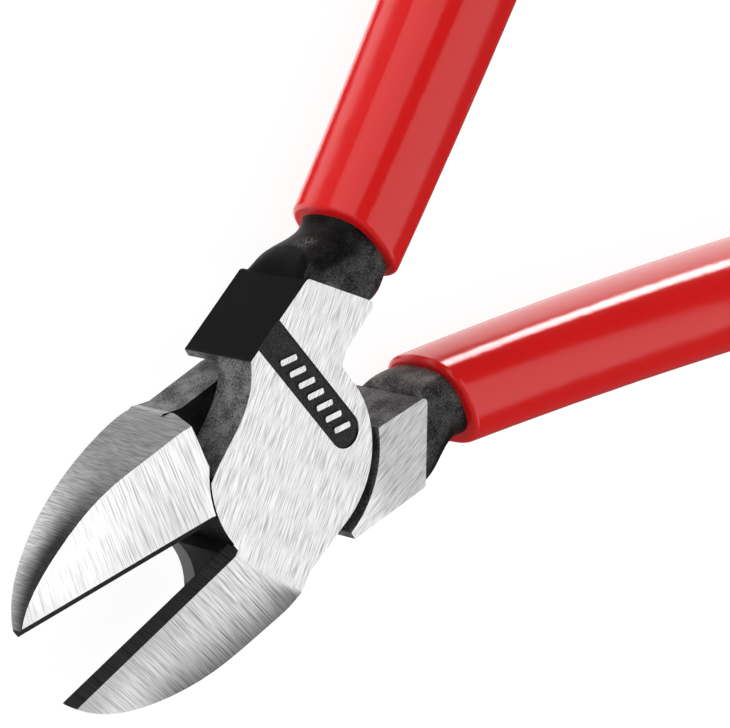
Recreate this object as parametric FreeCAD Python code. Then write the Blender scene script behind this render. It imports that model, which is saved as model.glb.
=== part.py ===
"""Diagonal cutting pliers with a lap joint, a through rivet and two dipped grips.

Frame: the pivot axis is Z and the origin is where it meets the back face of the joint.
+Z points out of the front face and +Y runs from the pivot to the cutting tips.
Every half is drawn closed, with its jaw at negative X and its handle at positive X, and its
cutting edge on the plane X = 0. The back half is the mirror of that drawing. Both halves are
then opened by the rest angle.
"""
import FreeCAD, Part
import math
import os
from FreeCAD import Vector

os.makedirs("parts", exist_ok=True)

# Overall sizes, millimetres and degrees
THICKNESS = 9.5
LAP_HEIGHT = THICKNESS / 2
LAP_PLAY = 0.03
REST_HALF_ANGLE = 8.0
EDGE_PLAY = 0.03

# Lap joint, radii about the pivot
PLATE_RADIUS = 9.65
DISC_RADIUS = 9.35
SEAT_RADIUS = 10.05
JAW_SEAT_RADIUS = 9.85
CORNER_RADIUS = 0.5

# Lap plate in plan: its waist, its flare into the jaw, its narrow side, heel and shoulder end
WAIST = ((9.4, -1.75), (7.9, 0.45), (7.22, 2.55), (6.75, 4.7))
WAIST_END_ANGLE = 52.0
CROWN_ANGLE = 70.0
ROOT_OVERLAP = (-8.9, 11.0)
FLARE = ((-9.45, 7.75), (-9.08, 6.75), (-8.8, 5.8))
BELLY_START = (-8.8, -0.6)
BELLY_RADIUS = 9.05
BELLY_ANGLE = -139.0
HEEL = (2.25, -9.4)
SHOULDER_OVERLAP = ((2.85, -10.6), (10.7, -10.6))
SHOULDER_TOP = (10.52, -2.75)

# Shoulder block in plan
SHOULDER_INNER_SIDE = 2.8
SHOULDER_SEAT_ANGLES = (-45.0, -14.6)
SHOULDER_CORNERS = ((10.5, -2.65), (11.1, -12.1), (3.45, -16.1))

# Rivet
RIVET_RADIUS = 3.2
RIVET_HEAD_RADIUS = 4.4
RIVET_HEAD_DEPTH = 1.2
RIVET_PLAY = 0.03

# Jaw: heights are above the back face, slopes are rise per millimetre of reach.
# The side wall leans in from the back outline to the front outline.
JAW_BACK_OUTLINE = (
    (-9.15, 7.1), (-9.42, 8.3), (-9.55, 12.2), (-8.67, 18.0), (-6.33, 24.0), (-3.2, 27.6), (-0.7, 28.85)
)
JAW_FRONT_OUTLINE = (
    (-9.15, 7.1), (-9.38, 8.3), (-9.1, 12.2), (-8.2, 18.0), (-5.57, 24.0), (-2.6, 27.8), (-0.7, 29.0)
)
ROOT_CHAMFER = (7.1, 8.45, 4.2)
RIDGE_REACH = 10.35
RIDGE_SLOPE = -0.28
BEVEL_WIDTH = 0.95
BEVEL_START = 9.75
BACK_TAPER_REACH = 8.0
BACK_TAPER_SLOPE = 0.136
RELIEF_ANGLE = 40.0
RELIEF_START = 5.0
RELIEF_MILL_RADIUS = 5.5
RELIEF_MILL_CENTRE = (-1.0, 16.3)
FACE_LEAN = ((6.0, -6.4), (10.0, -2.6), (14.0, -0.6), (18.0, 1.5), (22.0, 5.4), (26.0, 11.0), (30.0, 17.0))
JAW_END = 35.0
JAW_SEAT_ANGLES = (112.0, 134.0)
JAW_NOSE = 0.1

# Name band pressed into the front half, with a plain hatch
BAND_WIDTH = 3.41
BAND_REACH = -5.66
BAND_END = -2.35
BAND_DEPTH = 0.22
HATCH_COUNT = 7
HATCH_START = 0.4
HATCH_ROOT = 0.05
HATCH_ROUND = 0.165
HATCH_PITCH = 1.55
HATCH_LENGTH = 1.9
HATCH_THICKNESS = 0.55
HATCH_SLANT = 28.0

# Neck, tang and grip: a run is measured along the handle's centre line from its start
HANDLE_START = (7.13, -20.0)
HANDLE_HEADING = 16.6
HANDLE_ARCS = ((46.0, 3.4), (20.0, -25.0))
HANDLE_END_REACH = 111.0
STATION_PITCH = 5.0
# Neck stations: centre, heading, half breadth, half thickness, outer and inner squareness
NECK_STATIONS = (
    ((7.22, -13.86), 27.3, 4.33, 4.6, 9.0, 9.0),
    ((7.05, -16.2), 18.3, 4.44, 4.4, 4.0, 4.6),
    ((6.87, -18.3), 16.5, 3.88, 4.4, 2.7, 3.4),
)
TANG_HALF_THICKNESS = 4.55
TANG_HALF_BREADTH = 3.6
TANG_TAPER = 0.012
TANG_END_MARGIN = 7.0
LIP_REACH = -19.6
LIP_OVERRUN = 4.0
LIP_ROUND = 0.5
GRIP_HALF_BREADTH = 4.64
GRIP_BREADTH_SWELL = 0.0135
GRIP_HALF_THICKNESS = 5.66
GRIP_THICKNESS_SWELL = 0.027
GRIP_SWELL_RUN = 45.0
GRIP_DOME = 5.0
GRIP_DOME_STEPS = 6
GRIP_DOME_SWEEP = 78.0
SECTION_POWER = 2.65
SECTION_POINTS = 20
FAR = 60.0
CLEAR = 1.0


def on_plan(x, y):
    return Vector(x, y, 0)


def polar(radius, angle):
    return on_plan(radius * math.cos(math.radians(angle)), radius * math.sin(math.radians(angle)))


def line(start, end):
    return Part.makeLine(start, end)


def chain(points):
    return [line(start, end) for start, end in zip(points, points[1:])]


def arc(start, middle, end):
    return Part.Arc(start, middle, end).toShape()


def spline(points):
    curve = Part.BSplineCurve()
    curve.interpolate(points)
    return curve.toShape()


def slab(edges, bottom, top):
    """Extrudes a closed outline from one height to another."""
    face = Part.Face(Part.Wire(Part.__sortEdges__(edges)))
    face.translate(Vector(0, 0, bottom))
    return face.extrude(Vector(0, 0, top - bottom))


def polygon_face(corners):
    return Part.Face(Part.makePolygon(corners + corners[:1]))


def upright_edges(shape, spots, reach=0.25):
    """The straight upright edges that pass within reach of the given plan points."""
    found = []
    for edge in shape.Edges:
        ends = [vertex.Point for vertex in edge.Vertexes]
        if len(ends) != 2 or math.hypot(ends[0].x - ends[1].x, ends[0].y - ends[1].y) > 1e-4:
            continue
        if any(math.hypot(ends[0].x - x, ends[0].y - y) < reach for x, y in spots):
            found.append(edge)
    return found


def ridge_height(reach):
    """Height of the line where the front face meets the bevel."""
    return THICKNESS + RIDGE_SLOPE * (reach - RIDGE_REACH)


def edge_height(reach):
    return ridge_height(reach) - BEVEL_WIDTH


# ---------------------------------------------------------------- lap joint
def lap_plate(bottom, top):
    """The plate that overlaps the other half, from its jaw root to its shoulder."""
    waist_end = polar(PLATE_RADIUS, WAIST_END_ANGLE)
    crown_end = on_plan(-EDGE_PLAY, PLATE_RADIUS)
    flare = [on_plan(*point) for point in FLARE]
    belly_start = on_plan(*BELLY_START)
    belly_end = on_plan(0, -DISC_RADIUS)
    edges = [
        spline([on_plan(*point) for point in WAIST] + [waist_end]),
        arc(waist_end, polar(PLATE_RADIUS, CROWN_ANGLE), crown_end),
        arc(*flare),
        line(flare[-1], belly_start),
        arc(belly_start, polar(BELLY_RADIUS, BELLY_ANGLE), belly_end),
    ]
    edges += chain([crown_end, on_plan(-EDGE_PLAY, ROOT_OVERLAP[1]), on_plan(*ROOT_OVERLAP), flare[0]])
    tail = [on_plan(*point) for point in (HEEL, *SHOULDER_OVERLAP, SHOULDER_TOP, WAIST[0])]
    edges += chain([belly_end] + tail)
    plate = slab(edges, bottom, top)
    return plate.makeFillet(CORNER_RADIUS, upright_edges(plate, [SHOULDER_TOP, HEEL]))


def shoulder():
    """The full thickness block beyond the other half's disc, which the tang grows out of."""
    middle_angle, end_angle = SHOULDER_SEAT_ANGLES
    start_angle = math.degrees(math.acos(SHOULDER_INNER_SIDE / SEAT_RADIUS))
    seat_start = polar(SEAT_RADIUS, -start_angle)
    seat_end = polar(SEAT_RADIUS, end_angle)
    corners = [on_plan(*point) for point in SHOULDER_CORNERS]
    edges = [arc(seat_start, polar(SEAT_RADIUS, middle_angle), seat_end)]
    edges += chain([seat_end] + corners + [seat_start])
    block = slab(edges, 0.0, THICKNESS)
    return block.makeFillet(CORNER_RADIUS, upright_edges(block, SHOULDER_CORNERS[1:]))


# ---------------------------------------------------------------- jaw
def jaw_outline(side, height):
    """The jaw in plan: its seat about the pivot, its bowed outer side and its straight edge."""
    middle_angle, end_angle = JAW_SEAT_ANGLES
    seat_start = on_plan(-EDGE_PLAY, math.sqrt(JAW_SEAT_RADIUS**2 - EDGE_PLAY**2))
    seat_end = polar(JAW_SEAT_RADIUS, end_angle)
    outer = [on_plan(*point) for point in side]
    tip = on_plan(-EDGE_PLAY, outer[-1].y + JAW_NOSE)
    edges = [
        arc(seat_start, polar(JAW_SEAT_RADIUS, middle_angle), seat_end),
        line(seat_end, outer[0]),
        spline(outer),
        line(outer[-1], tip),
        line(tip, seat_start),
    ]
    wire = Part.Wire(edges)
    wire.translate(Vector(0, 0, height))
    return wire


def jaw_blank():
    """The jaw at full thickness, with its outer side leaning in towards the front."""
    wires = [jaw_outline(JAW_BACK_OUTLINE, 0.0), jaw_outline(JAW_FRONT_OUTLINE, THICKNESS)]
    return Part.makeLoft(wires, True, True).cut(root_chamfers())


def root_chamfers():
    """Slopes the root end of the jaw away from the lap plane towards both faces."""
    low_reach, high_reach, depth = ROOT_CHAMFER
    slopes = []
    for face, inside in ((THICKNESS, THICKNESS - depth), (0.0, depth)):
        profile = ((low_reach, inside), (high_reach, face), (0.0, face), (0.0, inside))
        corners = [Vector(-FAR, reach, height) for reach, height in profile]
        slopes.append(polygon_face(corners).extrude(Vector(2 * FAR, 0, 0)))
    return slopes


def prism_along_jaw(section, start, end):
    """Joins the section drawn at the start reach to the same section at the end reach."""
    wires = []
    for reach in (start, end):
        corners = [Vector(x, reach, z) for x, z in section(reach)]
        wires.append(Part.makePolygon(corners + corners[:1]))
    return Part.makeLoft(wires, True, True)


def bevel_cutter():
    """Everything above the narrow 45 degree bevel beside the cutting edge."""
    over = 3.0

    def section(reach):
        height = edge_height(reach)
        return [(CLEAR, height - CLEAR), (CLEAR, height + over), (-over, height + over)]

    return prism_along_jaw(section, BEVEL_START, JAW_END)


def relief_cutter():
    """The deep hollow behind the cutting edge, ended by the round of the mill at the throat."""
    lean = math.tan(math.radians(RELIEF_ANGLE))

    def section(reach):
        height = edge_height(reach)
        foot = -(height + CLEAR) * lean
        return [(CLEAR, height), (-EDGE_PLAY, height), (foot, -CLEAR), (CLEAR, -CLEAR)]

    wedge = prism_along_jaw(section, RELIEF_START, JAW_END)
    x, y = RELIEF_MILL_CENTRE
    depth = THICKNESS + 2 * CLEAR
    mill = Part.makeCylinder(RELIEF_MILL_RADIUS, depth, Vector(x, y, -CLEAR))
    run_out = Part.makeBox(2 * RELIEF_MILL_RADIUS, FAR, depth, Vector(x - RELIEF_MILL_RADIUS, y, -CLEAR))
    return wedge.common(mill.fuse(run_out))


def face_cutter():
    """Everything above the ground front face, which falls to the tip and leans across the jaw."""
    inner = 3.0
    outer = -14.0
    top = THICKNESS + 8
    wires = []
    for reach, lean in FACE_LEAN:
        ridge = ridge_height(reach)
        rise = math.tan(math.radians(lean))
        corners = [
            Vector(inner, reach, ridge - (inner + BEVEL_WIDTH) * rise),
            Vector(outer, reach, ridge - (outer + BEVEL_WIDTH) * rise),
            Vector(outer, reach, top),
            Vector(inner, reach, top),
        ]
        wires.append(Part.makePolygon(corners + corners[:1]))
    return Part.makeLoft(wires, True, False)


def back_cutter():
    """Everything under the back of the jaw, which rises to the tip."""
    run = 30.0
    end = BACK_TAPER_REACH + run
    start = BACK_TAPER_REACH - CLEAR / BACK_TAPER_SLOPE
    profile = ((start, -CLEAR), (end, run * BACK_TAPER_SLOPE), (end, -CLEAR))
    corners = [Vector(-FAR, reach, height) for reach, height in profile]
    return polygon_face(corners).extrude(Vector(2 * FAR, 0, 0))


# ---------------------------------------------------------------- handle
def handle_point(run):
    """The handle's centre line: two arcs, then straight. Gives the point and its heading."""
    x, y = HANDLE_START
    heading = math.radians(HANDLE_HEADING)
    left = run
    for length, turn in HANDLE_ARCS:
        used = min(max(left, 0.0), length)
        radius = length / math.radians(turn)
        turned = heading + used / radius
        x += radius * (math.cos(heading) - math.cos(turned))
        y -= radius * (math.sin(turned) - math.sin(heading))
        heading = turned
        left -= used
    x += left * math.sin(heading)
    y -= left * math.cos(heading)
    return x, y, heading


def handle_length():
    """The run at which the centre line reaches the end of the tool."""
    probe = sum(length for length, turn in HANDLE_ARCS)
    x, y, heading = handle_point(probe)
    return probe + (HANDLE_END_REACH + y) / math.cos(heading)


def section(place, half_breadth, half_thickness, outer_squareness, inner_squareness):
    """A superellipse across the handle at a centre point and heading."""
    x, y, heading = place
    points = []
    for index in range(SECTION_POINTS):
        angle = 2 * math.pi * (index + 0.5) / SECTION_POINTS
        squareness = outer_squareness if math.cos(angle) > 0 else inner_squareness
        across = math.copysign(abs(math.cos(angle)) ** (2 / squareness), math.cos(angle))
        up = math.copysign(abs(math.sin(angle)) ** (2 / squareness), math.sin(angle))
        points.append(Vector(
            x + half_breadth * across * math.cos(heading),
            y + half_breadth * across * math.sin(heading),
            LAP_HEIGHT + half_thickness * up,
        ))
    curve = Part.BSplineCurve()
    curve.interpolate(points, PeriodicFlag=True)
    return Part.Wire(curve.toShape())


def even_section(run, half_breadth, half_thickness):
    """The section shared by the tang and the grip, at a run along the handle."""
    return section(handle_point(run), half_breadth, half_thickness, SECTION_POWER, SECTION_POWER)


def smooth_loft(wires):
    return Part.makeLoft(wires, True, False, False, 3)


def handle_loft(start, end, half_breadth, half_thickness):
    """Lofts evenly spaced sections whose half sizes are functions of the run."""
    count = round((end - start) / STATION_PITCH)
    wires = []
    for index in range(count + 1):
        run = start + (end - start) * index / count
        wires.append(even_section(run, half_breadth(run), half_thickness(run)))
    return smooth_loft(wires)


def tang():
    """The steel inside the grip, slightly thinner towards its end."""
    def half_breadth(run):
        return TANG_HALF_BREADTH

    def half_thickness(run):
        return TANG_HALF_THICKNESS - TANG_TAPER * run

    return handle_loft(0.0, handle_length() - TANG_END_MARGIN, half_breadth, half_thickness)


def neck():
    """The forged neck, from inside the end of the shoulder to the start of the tang."""
    wires = []
    for (x, y), heading, *sizes in NECK_STATIONS:
        wires.append(section((x, y, math.radians(heading)), *sizes))
    wires.append(even_section(0.0, TANG_HALF_BREADTH, TANG_HALF_THICKNESS))
    return smooth_loft(wires)


def grip_blank():
    """The dipped sleeve as one solid: a rounded lip, a slow swell and a round closed end."""
    def half_breadth(run):
        return GRIP_HALF_BREADTH + GRIP_BREADTH_SWELL * min(max(run, 0.0), GRIP_SWELL_RUN)

    def half_thickness(run):
        return GRIP_HALF_THICKNESS + GRIP_THICKNESS_SWELL * min(max(run, 0.0), GRIP_SWELL_RUN)

    dome_start = handle_length() - GRIP_DOME
    body = handle_loft(-LIP_OVERRUN, dome_start, half_breadth, half_thickness)
    wires = []
    for step in range(GRIP_DOME_STEPS + 1):
        angle = math.radians(GRIP_DOME_SWEEP * step / GRIP_DOME_STEPS)
        shrink = math.cos(angle)
        run = dome_start + GRIP_DOME * math.sin(angle)
        wires.append(even_section(run, half_breadth(run) * shrink, half_thickness(run) * shrink))
    body = body.fuse(smooth_loft(wires))
    body = body.cut(Part.makeBox(FAR, FAR, FAR, Vector(-FAR / 2, LIP_REACH, -FAR / 2)))
    edges = sorted(body.Edges, key=lambda edge: edge.CenterOfMass.y)
    return body.makeFillet(LIP_ROUND, edges[-1:])


# ---------------------------------------------------------------- pieces
def band_cutter():
    """The shallow slot across the front of the joint, open through the outer wall."""
    low = BAND_REACH - BAND_WIDTH / 2
    high = BAND_REACH + BAND_WIDTH / 2
    outside = SHOULDER_CORNERS[1][0] + CLEAR
    corners = ((BAND_END, high), (outside, high), (outside, low), (BAND_END, low))
    sides = [on_plan(x, y) for x, y in corners]
    round_end = arc(sides[-1], on_plan(BAND_END - BAND_WIDTH / 2, BAND_REACH), sides[0])
    return slab(chain(sides) + [round_end], THICKNESS - BAND_DEPTH, THICKNESS + CLEAR)


def hatch_bar():
    """One upright bar, centred on the origin in plan, that goes a little way into the band floor."""
    x = HATCH_THICKNESS / 2
    y = HATCH_LENGTH / 2
    bar = Part.makeBox(HATCH_THICKNESS, HATCH_LENGTH, BAND_DEPTH + HATCH_ROOT, Vector(-x, -y, 0))
    bar = bar.makeFillet(HATCH_ROUND, upright_edges(bar, [(x, y), (-x, y), (-x, -y), (x, -y)]))
    bar.rotate(Vector(0, 0, 0), Vector(0, 0, 1), -HATCH_SLANT)
    return bar


def band_hatch():
    """A row of slanted bars that stand up to face height inside the band."""
    bars = []
    for index in range(HATCH_COUNT):
        bar = hatch_bar()
        x = BAND_END + HATCH_START + index * HATCH_PITCH
        bar.translate(Vector(x, BAND_REACH, THICKNESS - BAND_DEPTH - HATCH_ROOT))
        bars.append(bar)
    return bars


def half(plate_bottom, plate_top):
    """One forged half, closed, drawn with its jaw at negative X."""
    body = lap_plate(plate_bottom, plate_top).fuse([shoulder(), jaw_blank(), neck(), tang()])
    for cutter in (face_cutter(), back_cutter(), bevel_cutter(), relief_cutter()):
        body = body.cut(cutter)
    return body.removeSplitter()


def rivet_blank(play):
    """The rivet with its countersunk back head, or its hole when it is given some play."""
    shank = Part.makeCylinder(RIVET_RADIUS + play, THICKNESS)
    head = Part.makeCone(RIVET_HEAD_RADIUS + play, RIVET_RADIUS + play, RIVET_HEAD_DEPTH)
    return shank.fuse(head).removeSplitter()


def mirrored(shape):
    return shape.mirror(Vector(0, 0, 0), Vector(1, 0, 0))


def opened(shape, angle):
    shape = shape.copy()
    shape.rotate(Vector(0, 0, 0), Vector(0, 0, 1), angle)
    return shape


def export(shape, node):
    solid = shape.Solids[0] if len(shape.Solids) == 1 else shape
    print(node, "solids", len(shape.Solids), "valid", shape.isValid(), "volume", round(shape.Volume, 1))
    solid.exportStep("parts/" + node + ".step")


def main():
    front = half(LAP_HEIGHT + LAP_PLAY, THICKNESS)
    front = front.cut(band_cutter()).fuse(band_hatch())
    front = front.cut(Part.makeCylinder(RIVET_RADIUS, THICKNESS))
    back = half(0.0, LAP_HEIGHT - LAP_PLAY).cut(rivet_blank(RIVET_PLAY))
    grip = grip_blank().cut(tang()).cut(neck())
    export(opened(front, REST_HALF_ANGLE), "front_half")
    export(opened(mirrored(back), -REST_HALF_ANGLE), "back_half")
    export(opened(rivet_blank(0.0), REST_HALF_ANGLE), "pivot_rivet")
    export(opened(grip, REST_HALF_ANGLE), "front_grip")
    export(opened(mirrored(grip), -REST_HALF_ANGLE), "back_grip")


main()
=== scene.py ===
"""Looks for the diagonal cutting pliers: materials, floor, studio light and camera.

Lengths are millimetres, and reach is the distance along Y. The steel is described in each half's
own frame, in which the tool is closed, the jaw is at negative X, the handle is at positive X and
the cutting edge is on X = 0. A pair of numbers with no other note is the start and the end of a
smooth step, and it may run downwards.
"""

import math

import bpy
from mathutils import Matrix, Vector

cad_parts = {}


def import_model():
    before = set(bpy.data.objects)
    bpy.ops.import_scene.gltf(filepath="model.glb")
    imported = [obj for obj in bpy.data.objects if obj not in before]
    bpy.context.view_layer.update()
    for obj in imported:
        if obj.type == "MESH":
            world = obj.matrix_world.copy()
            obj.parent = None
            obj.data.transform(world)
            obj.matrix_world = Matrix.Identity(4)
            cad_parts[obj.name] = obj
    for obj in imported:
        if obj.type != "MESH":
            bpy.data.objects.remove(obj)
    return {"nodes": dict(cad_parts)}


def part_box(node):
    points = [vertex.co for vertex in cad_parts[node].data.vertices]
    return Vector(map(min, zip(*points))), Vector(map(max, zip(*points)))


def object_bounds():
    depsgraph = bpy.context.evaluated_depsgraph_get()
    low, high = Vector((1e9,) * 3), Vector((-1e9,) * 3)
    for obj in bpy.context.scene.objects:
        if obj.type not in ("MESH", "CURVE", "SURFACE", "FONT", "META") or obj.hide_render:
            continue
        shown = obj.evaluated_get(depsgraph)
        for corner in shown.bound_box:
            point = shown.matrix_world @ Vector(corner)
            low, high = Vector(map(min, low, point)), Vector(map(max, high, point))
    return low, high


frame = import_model()
CAD_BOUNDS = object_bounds()

MM = 0.001
REST_HALF_ANGLE = math.radians(8.0)
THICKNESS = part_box("pivot_rivet")[1].z / MM
MID_HEIGHT = THICKNESS / 2

# Sizes of the tool that the masks start from
PLATE_RADIUS = 9.65
BEVEL_WIDTH = 0.95

# Grinding marks: angles in plan from the Y axis towards X, the reach where the jaw's begin, and
# the squeeze and the share of a layer of broader streaks
FRONT_PLATE_BRUSH = math.radians(-23.0)
BACK_PLATE_BRUSH = math.radians(14.0)
JAW_BRUSH = math.radians(88.0)
FRONT_JAW_START = 10.0
BACK_JAW_START = 6.5
JAW_START_FADE = 0.5
BROAD_STREAKS = 0.4
BROAD_SHARE = 0.12

# Surfaces told apart by their normal, from its part along X, Y or Z
LEVEL = (0.78, 0.84)
UPRIGHT = (0.6, 0.4)
FACING_OUT = (-0.25, -0.35)
BEVEL_RISE = (0.3, 0.5)
OUTER_WALL_SIDE = (0.6, 0.9)
OUTER_NECK_SIDE = (-0.05, 0.35)
FACING_TIP = (0.6, 0.8)

# Surfaces told apart by their place
FACE_HEIGHT = (MID_HEIGHT - 0.14, MID_HEIGHT - 0.08)
JAW_RADIUS = (PLATE_RADIUS + 0.1, PLATE_RADIUS + 0.15)
JAW_REACH = (8.3, 8.4)
JAW_WALL_REACH = (6.9, 7.3)
BEVEL_SIDE = (-BEVEL_WIDTH - 0.3, -BEVEL_WIDTH - 0.2)
OUTER_WALL_REACH = (-2.3, -2.9)
NECK_REACH = (-12.0, -14.0)
HOLLOW_REACH = (10.0, 10.4)
BAND_FLOOR_HEIGHT = (THICKNESS - 1.1, THICKNESS - 0.8)

# Outer ridge of the jaw face, the curved fold before the face, and the width of the face
RIDGE_REACH = 8.0
RIDGE_HEIGHT = 9.75
RIDGE_FALL = 0.2
FOLD_SLOPE = -0.13
FOLD_BOW = 0.0145
BELLY_REACH = 11.0
BELLY_WIDTH = 9.6
BELLY_BOW = 0.0175

# Where the painted shade and light on the jaws, the darker shoulder and the painted highlight in the
# hollow change
FRONT_SHADE_ACROSS = (0.35, 1.05)
FRONT_SHADE_FOLD = (9.9, 10.9)
FRONT_SHADE_END = (27.5, 22.0)
FRONT_PAINTED_TIP_LIGHT = (20.0, 27.0)
BACK_SHOULDER = (-5.0, -9.0)
BACK_JAW_ROOT = (6.5, 8.0)
BACK_JAW = (10.0, 26.0)
WALL_TIPWARD = (12.5, 23.5)
# Height below which the hollow's wall gets a painted highlight
HOLLOW_PAINTED_SHINE_HEIGHT = (2.4, 2.1)

# Round end of the outer wall in the neck, which bows with the distance from the middle height,
# and a scuffed spot beyond it
ARCH_END = -15.4
ARCH_BOW = 0.145
ARCH_SOFTNESS = 0.3
SCUFF_REACH = -16.2
SCUFF_HEIGHT = 5.4
SCUFF_SQUEEZE = 1.6
SCUFF_RADIUS = (1.9, 0.5)

# Vinyl
DEEP_RED = (0.88, 0.010, 0.011, 1.0)
BRIGHT_RED = (0.93, 0.013, 0.014, 1.0)

# Floor
FLOOR_SIZE = 6000.0
FLOOR_GAP = 0.2

# Surroundings seen in reflections: headings, elevations and softness in degrees, and radiance
TABLE_ELEVATION = (-50.0, -54.0)
WALL_RADIANCE = 0.1
TABLE_RADIANCE = 1.6
TABLE_GAP = ((-60.0, 40.0), (-95.0, -66.0))
CARDS = (
    ((28.0, 179.0), (2.0, 60.0), 0.3),
    ((-30.0, 60.0), (-37.0, 24.0), 1.3),
    ((-125.0, -76.0), (-60.0, -28.0), 1.2),
    ((-80.0, -58.0), (-26.0, -12.0), 14.0),
)
CARD_SOFTNESS = 3.0

# Camera
CAMERA_PLACE = (131.50, 101.88, 198.98)
CAMERA_TARGET = (1.885, -11.233, 9.5)
CAMERA_ROLL = math.radians(100.915)
CAMERA_LENS = 138.91
SENSOR_WIDTH = 36.0
CAMERA_NEAR = 10.0
CAMERA_FAR = 20000.0


# ---------------------------------------------------------------- node graphs
class Graph:
    """Builds a node graph with short calls. A value is a number or a socket."""

    def __init__(self, owner, output_kind, shader_kind):
        owner.use_nodes = True
        self.tree = owner.node_tree
        self.tree.nodes.clear()
        output = self.tree.nodes.new(output_kind)
        self.shader = self.tree.nodes.new(shader_kind)
        self.tree.links.new(self.shader.outputs[0], output.inputs["Surface"])

    def node(self, kind, **settings):
        node = self.tree.nodes.new(kind)
        for key, value in settings.items():
            setattr(node, key, value)
        return node

    def feed(self, socket, value):
        if isinstance(value, bpy.types.NodeSocket):
            self.tree.links.new(value, socket)
        else:
            socket.default_value = value

    def set(self, name, value):
        self.feed(self.shader.inputs[name], value)

    def math(self, operation, *values):
        node = self.node("ShaderNodeMath", operation=operation)
        for socket, value in zip(node.inputs, values):
            self.feed(socket, value)
        return node.outputs[0]

    def times(self, first, *others):
        for other in others:
            first = self.math("MULTIPLY", first, other)
        return first

    def most(self, first, *others):
        for other in others:
            first = self.math("MAXIMUM", first, other)
        return first

    def without(self, first, *others):
        for other in others:
            first = self.times(first, self.math("SUBTRACT", 1.0, other))
        return first

    def distance(self, first, second):
        squares = self.math("ADD", self.times(first, first), self.times(second, second))
        return self.math("SQRT", squares)

    def step(self, value, start, end, low=0.0, high=1.0):
        """Goes smoothly from low to high as the value goes from start to end."""
        node = self.node("ShaderNodeMapRange", interpolation_type="SMOOTHSTEP")
        for key, number in zip(("Value", "From Min", "From Max", "To Min", "To Max"),
                               (value, start, end, low, high)):
            self.feed(node.inputs[key], number)
        return node.outputs["Result"]

    def between(self, value, start, end, soft):
        rise = self.step(value, start - soft, start + soft)
        return self.without(rise, self.step(value, end - soft, end + soft))

    def parts(self, vector):
        node = self.node("ShaderNodeSeparateXYZ")
        self.feed(node.inputs[0], vector)
        return node.outputs

    def vector(self, x, y, z):
        node = self.node("ShaderNodeCombineXYZ")
        for socket, value in zip(node.inputs, (x, y, z)):
            self.feed(socket, value)
        return node.outputs[0]

    def scaled(self, vector, scale):
        node = self.node("ShaderNodeVectorMath", operation="MULTIPLY")
        self.feed(node.inputs[0], vector)
        self.feed(node.inputs[1], scale)
        return node.outputs[0]

    def turned(self, vector, angle):
        node = self.node("ShaderNodeVectorRotate", rotation_type="Z_AXIS")
        self.feed(node.inputs["Vector"], vector)
        self.feed(node.inputs["Angle"], angle)
        return node.outputs[0]

    def noise(self, vector, scale, detail, roughness):
        node = self.node("ShaderNodeTexNoise")
        inputs = {"Vector": vector, "Scale": scale, "Detail": detail, "Roughness": roughness}
        for key, value in inputs.items():
            self.feed(node.inputs[key], value)
        return node.outputs["Fac"]

    def mix(self, factor, first, second):
        """Blends two colours. A plain number stands for a grey."""
        node = self.node("ShaderNodeMix", data_type="RGBA")
        self.feed(node.inputs["Factor"], factor)
        for socket, value in zip(node.inputs[6:8], (first, second)):
            self.feed(socket, grey(value) if isinstance(value, float) else value)
        return node.outputs[2]

    def blend(self, factor, first, second):
        """Blends two numbers."""
        node = self.node("ShaderNodeMix", data_type="FLOAT")
        self.feed(node.inputs["Factor"], factor)
        for socket, value in zip(node.inputs[2:4], (first, second)):
            self.feed(socket, value)
        return node.outputs[0]

    def bump(self, height, distance, strength=1.0):
        node = self.node("ShaderNodeBump")
        for key, value in (("Strength", strength), ("Distance", distance * MM), ("Height", height)):
            self.feed(node.inputs[key], value)
        self.set("Normal", node.outputs["Normal"])


class Surface(Graph):
    """The node graph of a new material."""

    def __init__(self, name):
        self.material = bpy.data.materials.new(name)
        super().__init__(self.material, "ShaderNodeOutputMaterial", "ShaderNodeBsdfPrincipled")


def grey(value):
    return (value, value, value, 1.0)


# ---------------------------------------------------------------- steel
def millimetres(g):
    """Place on the object."""
    return g.scaled(g.node("ShaderNodeTexCoord").outputs["Object"], (1 / MM, 1 / MM, 1 / MM))


class OwnFrame:
    """Place and normal of a surface point in the own frame of one half, whose side is 1 or -1."""

    def __init__(self, g, side):
        normal = g.node("ShaderNodeTexCoord").outputs["Normal"]
        mirror = (side, 1.0, 1.0)
        self.place = g.scaled(g.turned(millimetres(g), -side * REST_HALF_ANGLE), mirror)
        self.normal = g.scaled(g.turned(normal, -side * REST_HALF_ANGLE), mirror)
        self.x, self.y, self.z = g.parts(self.place)
        self.nx, self.ny, self.nz = g.parts(self.normal)
        self.flat = g.math("ABSOLUTE", self.nz)
        self.off_middle = g.math("ABSOLUTE", g.math("SUBTRACT", self.z, MID_HEIGHT))


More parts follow.
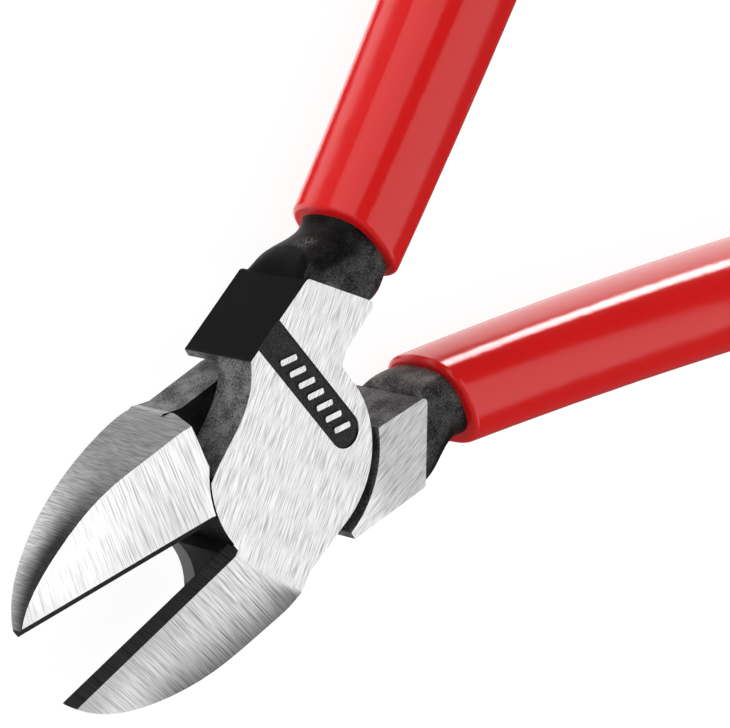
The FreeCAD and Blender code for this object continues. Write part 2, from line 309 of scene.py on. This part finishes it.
class Regions:
    """Masks that are 1 on one kind of surface of a half and 0 elsewhere."""

    def __init__(self, g, own):
        radius = g.distance(own.x, own.y)
        level = g.step(own.flat, *LEVEL)
        self.upright = g.step(own.flat, *UPRIGHT)
        jaw = g.times(g.step(radius, *JAW_RADIUS), g.step(own.y, *JAW_REACH))
        self.ground = g.times(level, g.most(g.step(own.off_middle, *FACE_HEIGHT), jaw))
        beyond_plate = g.step(own.y, *JAW_WALL_REACH)
        self.jaw_wall = g.times(self.upright, g.step(own.nx, *FACING_OUT), beyond_plate)
        rising = g.step(own.nz, *BEVEL_RISE)
        self.bevel = g.times(g.without(1.0, level), jaw, g.step(own.x, *BEVEL_SIDE), rising)
        self.neck = g.step(own.y, *NECK_REACH)
        self.outer_neck = g.times(self.neck, g.step(own.nx, *OUTER_NECK_SIDE))
        self.outer_wall = g.times(self.upright, g.step(own.nx, *OUTER_WALL_SIDE), inside_arch(g, own))
        self.side_wall = g.without(self.upright, beyond_plate, self.outer_wall, self.outer_neck)
        self.hollow = g.times(self.upright, g.step(own.ny, *FACING_TIP), g.step(own.y, *HOLLOW_REACH))
        raised = g.times(level, g.step(own.z, *BAND_FLOOR_HEIGHT))
        self.band_floor = g.without(raised, self.ground, self.neck)


def inside_arch(g, own):
    """1 on the outer wall, from its jaw end to its round end in the neck."""
    end = g.math("ADD", ARCH_END, g.times(own.off_middle, own.off_middle, ARCH_BOW))
    before_end = g.step(g.math("SUBTRACT", own.y, end), -ARCH_SOFTNESS, ARCH_SOFTNESS)
    return g.times(before_end, g.step(own.y, *OUTER_WALL_REACH))


def scratches(g, place, angle, stretch=0.036, scale=11.0):
    """Fine streaks in plan, along an angle from the Y axis towards X. Gives 0 to 1 about a half."""
    lined = g.turned(place, angle)
    fine = g.noise(g.scaled(lined, (1.0, stretch, 0.0)), scale, detail=2.0, roughness=0.6)
    squeeze = (BROAD_STREAKS, stretch * BROAD_STREAKS, 0.0)
    broad = g.noise(g.scaled(lined, squeeze), scale, detail=2.0, roughness=0.5)
    return g.blend(BROAD_SHARE, fine, broad)


def ridge_height(g, reach):
    """About the height of the jaw face's outer ridge above the back face."""
    return g.math("SUBTRACT", RIDGE_HEIGHT, g.times(g.math("SUBTRACT", reach, RIDGE_REACH), RIDGE_FALL))


def fold_reach(g, own):
    """Reach, bent so that the curved fold between the plate and the jaw face is at one value."""
    bow = g.times(own.x, own.x, FOLD_BOW)
    return g.math("ADD", own.y, g.math("ADD", g.times(own.x, FOLD_SLOPE), bow))


def outerness(g, own):
    """0 at the cutting edge and about 1 at the jaw's outer side."""
    beyond = g.math("SUBTRACT", own.y, BELLY_REACH)
    width = g.math("SUBTRACT", BELLY_WIDTH, g.times(beyond, beyond, BELLY_BOW))
    return g.math("DIVIDE", own.x, g.times(width, -1.0))


def brushed_faces(g, own, plate_brush, jaw_start):
    """Streaks of the ground faces: one direction up to the jaw, and across it from there."""
    plate_lines = scratches(g, own.place, plate_brush)
    jaw_lines = scratches(g, own.place, JAW_BRUSH, stretch=0.022, scale=10.5)
    on_jaw = g.step(fold_reach(g, own), jaw_start, jaw_start + JAW_START_FADE)
    return g.blend(on_jaw, plate_lines, jaw_lines)


def ground_tone(g, lines):
    return g.step(lines, 0.34, 0.57, low=0.45, high=0.82)


def ground_roughness(g, lines):
    return g.step(lines, 0.35, 0.65, low=0.42, high=0.3)


def front_face_grey(g, own, lines):
    """Ground faces of the front half, with painted shade and light: the jaw face is painted darker past
    its fold and to its outer side away from the tip, and painted lighter towards the tip.
    """
    fold = fold_reach(g, own)
    # Painted shade: darker to the jaw face's outer side, past the fold and away from the tip
    shade = g.step(outerness(g, own), *FRONT_SHADE_ACROSS)
    shade = g.times(shade, g.step(fold, *FRONT_SHADE_FOLD), g.step(own.y, *FRONT_SHADE_END))
    # Painted shade past the fold, and painted light towards the tip
    past_fold = g.step(fold, FRONT_JAW_START, FRONT_JAW_START + JAW_START_FADE, low=1.0, high=0.84)
    tipward = g.step(own.y, *FRONT_PAINTED_TIP_LIGHT, low=1.0, high=1.4)
    return g.times(ground_tone(g, lines), g.blend(shade, 1.0, 0.22), past_fold, tipward)


def back_face_grey(g, own, lines):
    """Ground faces of the back half: darker on the shoulder, and painted light on the jaw face that grows
    towards the tip.
    """
    shoulder = g.step(own.y, *BACK_SHOULDER, low=1.0, high=0.7)
    # Painted light on the back jaw face, growing towards the tip
    painted_jaw_light = g.times(g.step(own.y, *BACK_JAW_ROOT), g.step(own.y, *BACK_JAW, low=0.04, high=0.3))
    return g.math("ADD", g.times(ground_tone(g, lines), shoulder), painted_jaw_light)


def jaw_wall_grey(g, own):
    """Satin wall of the jaw with painted shade: painted dark under the ridge near the tip, and even near
    the root.
    """
    depth = g.math("SUBTRACT", ridge_height(g, own.y), own.z)
    tipward = g.step(own.y, *WALL_TIPWARD)
    # Painted shade: dark under the ridge, deepest near the tip
    near_ridge = g.blend(tipward, 0.42, 0.045)
    far_side = g.blend(tipward, 0.46, 0.84)
    painted_ridge_shade = g.step(depth, g.blend(tipward, 0.0, 1.0), g.blend(tipward, 9.0, 4.5))
    lines = g.noise(g.scaled(own.place, (1.5, 1.5, 0.06)), scale=6.0, detail=3.0, roughness=0.65)
    contrast = g.step(lines, 0.32, 0.68, low=0.68, high=1.32)
    return g.times(g.blend(painted_ridge_shade, near_ridge, far_side), contrast)


def bevel_grey(g, own):
    """Bevel beside the cutting edge, ground across it; its near-black is a painted dark reflection."""
    lines = g.noise(g.scaled(own.place, (0.1, 5.0, 0.1)), scale=3.0, detail=3.0, roughness=0.6)
    # Near-black painted as a dark reflection, with grinding marks across
    return g.step(lines, 0.35, 0.65, low=0.022, high=0.055)


def scuff(g, own, grain):
    """Bright specks round one spot of the neck's outer side."""
    along = g.times(g.math("SUBTRACT", own.y, SCUFF_REACH), SCUFF_SQUEEZE)
    away = g.distance(along, g.math("SUBTRACT", own.z, SCUFF_HEIGHT))
    return g.times(g.step(away, *SCUFF_RADIUS), g.step(grain, 0.5, 0.6))


def black_skin_grey(g, own, on, grain, speckle):
    """Everything that isn't ground or satin, from the nearly black outer wall to grey forged walls, with
    a painted highlight low in the hollow and the neck's outer side painted darker as shade.
    """
    neck = g.step(speckle, 0.4, 0.62, low=0.015, high=0.13)
    layers = (
        # The neck's outer side is painted darker, as shade
        (on.neck, g.times(neck, g.blend(on.outer_neck, 1.0, 0.2))),
        (on.side_wall, g.step(speckle, 0.4, 0.62, low=0.06, high=0.32)),
        (on.outer_wall, 0.003),
        # Painted highlight on the lower part of the hollow's wall
        (on.hollow, g.step(own.z, *HOLLOW_PAINTED_SHINE_HEIGHT, low=0.004, high=0.2)),
        (on.band_floor, g.step(grain, 0.35, 0.65, low=0.025, high=0.07)),
    )
    black = g.step(speckle, 0.42, 0.7, low=0.008, high=0.03)
    for mask, value in layers:
        black = g.blend(mask, black, value)
    return black


def forged_steel(name, side, plate_brush, jaw_start):
    """Ground faces and satin jaw walls with painted shade and light, a bevel with a painted dark
    reflection, and black forged skin elsewhere.
    """
    g = Surface(name)
    own = OwnFrame(g, side)
    on = Regions(g, own)
    lines = brushed_faces(g, own, plate_brush, jaw_start)
    grain = g.noise(own.place, scale=6.0, detail=4.0, roughness=0.7)
    speckle = g.blend(0.35, grain, g.noise(own.place, scale=0.55, detail=2.0, roughness=0.5))

    black = black_skin_grey(g, own, on, grain, speckle)
    if side > 0:
        face = front_face_grey(g, own, lines)
        black = g.blend(g.times(on.outer_neck, scuff(g, own, grain)), black, 0.22)
    else:
        face = back_face_grey(g, own, lines)
    tone = g.mix(on.jaw_wall, black, jaw_wall_grey(g, own))
    tone = g.mix(on.bevel, tone, bevel_grey(g, own))
    tone = g.mix(on.ground, tone, face)

    g.set("Base Color", tone)
    g.set("Metallic", g.most(on.ground, on.jaw_wall))
    g.set("Specular IOR Level", 0.05)
    g.set("Roughness", g.blend(on.ground, 0.42, ground_roughness(g, lines)))
    forged = g.without(1.0, on.jaw_wall, on.bevel, on.outer_wall)
    height = g.blend(on.ground, g.times(speckle, forged), g.times(lines, 0.1))
    g.bump(height, distance=0.1, strength=0.7)
    return g.material


def rivet_steel(name, plate_brush):
    """The rivet: ground flush with the plate in front, and faced off in rings at the back."""
    g = Surface(name)
    own = OwnFrame(g, 1.0)
    radius = g.distance(own.x, own.y)
    rings = g.noise(g.vector(radius, 0.0, 0.0), scale=9.0, detail=3.0, roughness=0.6)
    lines = scratches(g, own.place, plate_brush)
    front = g.step(own.z, MID_HEIGHT - 0.1, MID_HEIGHT + 0.1)
    ring_tone = g.step(rings, 0.35, 0.65, low=0.42, high=0.66)
    ring_roughness = g.step(rings, 0.3, 0.7, low=0.25, high=0.4)
    g.set("Base Color", g.mix(front, ring_tone, ground_tone(g, lines)))
    g.set("Metallic", 1.0)
    g.set("Roughness", g.blend(front, ring_roughness, ground_roughness(g, lines)))
    height = g.blend(front, g.times(rings, 0.3), g.times(lines, 0.1))
    g.bump(height, distance=0.1, strength=0.7)
    return g.material


# ---------------------------------------------------------------- vinyl
def dipped_vinyl(name):
    """Glossy red dip with a faint ripple."""
    g = Surface(name)
    place = millimetres(g)
    patches = g.noise(place, scale=0.08, detail=2.0, roughness=0.5)
    ripple = g.noise(place, scale=0.35, detail=2.0, roughness=0.5)
    fine = g.noise(place, scale=4.0, detail=3.0, roughness=0.6)
    g.set("Base Color", g.mix(patches, DEEP_RED, BRIGHT_RED))
    g.set("Roughness", g.step(fine, 0.3, 0.7, low=0.14, high=0.22))
    g.set("Specular IOR Level", 0.45)
    g.bump(g.blend(0.1, ripple, fine), distance=0.04, strength=0.4)
    return g.material


# ---------------------------------------------------------------- stage
def floor_white():
    """A floor that glows nearly white by itself, so that shadows on it are faint."""
    g = Surface("floor_white")
    grain = g.noise(millimetres(g), scale=0.9, detail=3.0, roughness=0.6)
    g.set("Base Color", g.mix(grain, 0.13, 0.16))
    g.set("Roughness", 0.9)
    g.set("Emission Color", grey(1.0))
    g.set("Emission Strength", 0.94)
    return g.material


def floor():
    """The floor, just under the tool and left out of glossy reflections."""
    height = CAD_BOUNDS[0].z - FLOOR_GAP * MM
    bpy.ops.mesh.primitive_plane_add(size=FLOOR_SIZE * MM, location=(0, 0, height))
    plane = bpy.context.object
    plane.name = "floor"
    plane.data.materials.append(floor_white())
    plane.visible_glossy = False


def aimed(place, target):
    """The turn of a lamp or camera that looks from a place at a target."""
    return (Vector(target) - Vector(place)).to_track_quat("-Z", "Y")


def softbox(name, place, target, width, height, radiance):
    """A rectangular lamp at a place, facing a target."""
    lamp = bpy.data.lights.new(name, "AREA")
    lamp.shape = "RECTANGLE"
    lamp.size = width * MM
    lamp.size_y = height * MM
    lamp.energy = radiance * math.pi * lamp.size * lamp.size_y
    box = bpy.data.objects.new(name, lamp)
    bpy.context.scene.collection.objects.link(box)
    box.location = Vector(place) * MM
    box.rotation_euler = aimed(place, target).to_euler()
    box.visible_camera = False


def patch(g, heading, elevation, headings, elevations):
    """1 inside a patch of the surroundings, by its two headings and its two elevations in degrees."""
    across = g.between(heading, *headings, CARD_SOFTNESS)
    return g.times(across, g.between(elevation, *elevations, CARD_SOFTNESS))


def world():
    """The studio round the tool: dim walls, a light table underneath with a gap, and four cards."""
    sky = bpy.data.worlds.new("studio")
    bpy.context.scene.world = sky
    g = Graph(sky, "ShaderNodeOutputWorld", "ShaderNodeBackground")
    x, y, z = g.parts(g.node("ShaderNodeTexCoord").outputs["Generated"])
    heading = g.times(g.math("ARCTAN2", y, x), math.degrees(1.0))
    elevation = g.times(g.math("ARCSINE", z), math.degrees(1.0))
    light = g.step(elevation, *TABLE_ELEVATION, WALL_RADIANCE, TABLE_RADIANCE)
    light = g.without(light, patch(g, heading, elevation, *TABLE_GAP))
    for headings, elevations, radiance in CARDS:
        light = g.most(light, g.times(patch(g, heading, elevation, headings, elevations), radiance))
    g.set("Color", grey(1.0))
    g.set("Strength", light)


def camera():
    data = bpy.data.cameras.new("camera")
    data.lens = CAMERA_LENS
    data.sensor_width = SENSOR_WIDTH
    data.clip_start = CAMERA_NEAR * MM
    data.clip_end = CAMERA_FAR * MM
    view = bpy.data.objects.new("camera", data)
    bpy.context.scene.collection.objects.link(view)
    turn = aimed(CAMERA_PLACE, CAMERA_TARGET).to_matrix() @ Matrix.Rotation(CAMERA_ROLL, 3, "Z")
    view.matrix_world = Matrix.Translation(Vector(CAMERA_PLACE) * MM) @ turn.to_4x4()
    bpy.context.scene.camera = view


# ---------------------------------------------------------------- scene
def dress(node, material):
    mesh = frame["nodes"][node].data
    mesh.materials.clear()
    mesh.materials.append(material)


dress("front_half", forged_steel("ground_steel_front", 1.0, FRONT_PLATE_BRUSH, FRONT_JAW_START))
dress("back_half", forged_steel("ground_steel_back", -1.0, BACK_PLATE_BRUSH, BACK_JAW_START))
dress("pivot_rivet", rivet_steel("rivet_steel", FRONT_PLATE_BRUSH))
vinyl = dipped_vinyl("red_vinyl")
dress("front_grip", vinyl)
dress("back_grip", vinyl)
floor()
world()
softbox("overhead", place=(-155, -185, 500), target=(-155, -185, 0), width=810, height=570, radiance=1.27)
softbox("fill", place=(-560, 30, 450), target=(0, 0, 0), width=300, height=220, radiance=1.1)
camera()
bpy.context.scene.view_settings.view_transform = "Standard"
